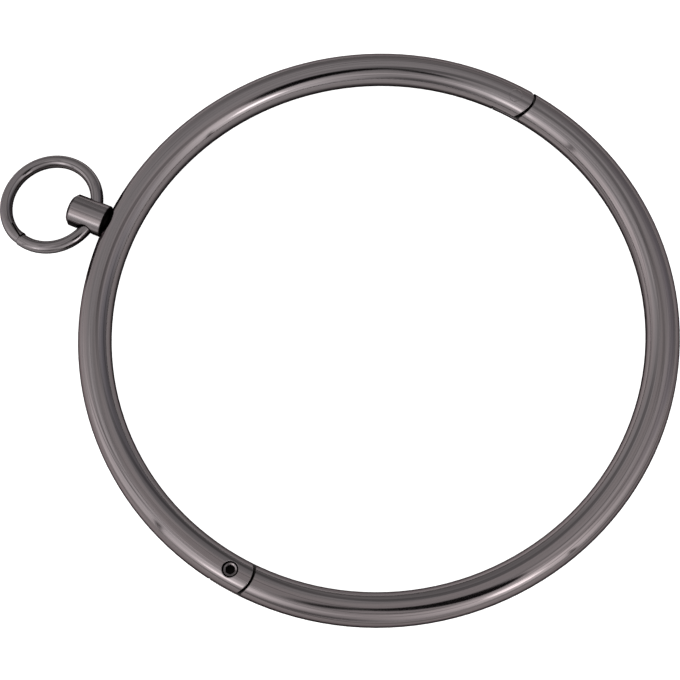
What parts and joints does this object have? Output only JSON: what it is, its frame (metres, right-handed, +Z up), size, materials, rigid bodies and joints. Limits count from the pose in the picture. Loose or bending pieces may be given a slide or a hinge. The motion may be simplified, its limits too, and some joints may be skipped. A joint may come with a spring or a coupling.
{
  "type": "hinged metal neck ring",
  "caption": "Rigid neck ring of polished round steel rod in hinged halves, closed by a recessed hex socket screw, with a short front post that carries a free-swinging wire ring.",
  "frame": {"origin": "centre of the neck opening, on the plane that the ring lies on", "axes": "+Z up through the neck opening, out of the side that shows the lock screw; -Y towards the post and its wire ring"},
  "size_m": [0.142, 0.1699, 0.008],
  "materials": {
    "polished_rod": "polished dark steel with fine lengthwise polishing lines",
    "polished_wire": "polished dark steel wire",
    "dark_screw": "bright turned steel"
  },
  "bodies": {
    "front_half": {"front_arc": "polished_rod", "hinge_pin": "polished_rod", "ring_post": "polished_rod"},
    "rear_half": {"rear_arc": "polished_rod"},
    "lock": {"lock_screw": "dark_screw"},
    "ring": {"o_ring": "polished_wire"}
  },
  "joints": [
    {"name": "collar_hinge", "type": "hinge", "parent": "front_half", "child": "rear_half", "pos_m": [-0.06638, 0.00909, 0.004], "axis": [0, 0, 1], "range_deg": [0, 65]},
    {"name": "screw_out", "type": "slide", "parent": "front_half", "child": "lock", "axis": [0, 0, 1], "range_m": [0, 0.0022]},
    {"name": "ring_swing", "type": "hinge", "parent": "front_half", "child": "ring", "pos_m": [0, -0.0751, 0.004], "axis": [-1, 0, 0], "range_deg": [-128, 140]}
  ]
}
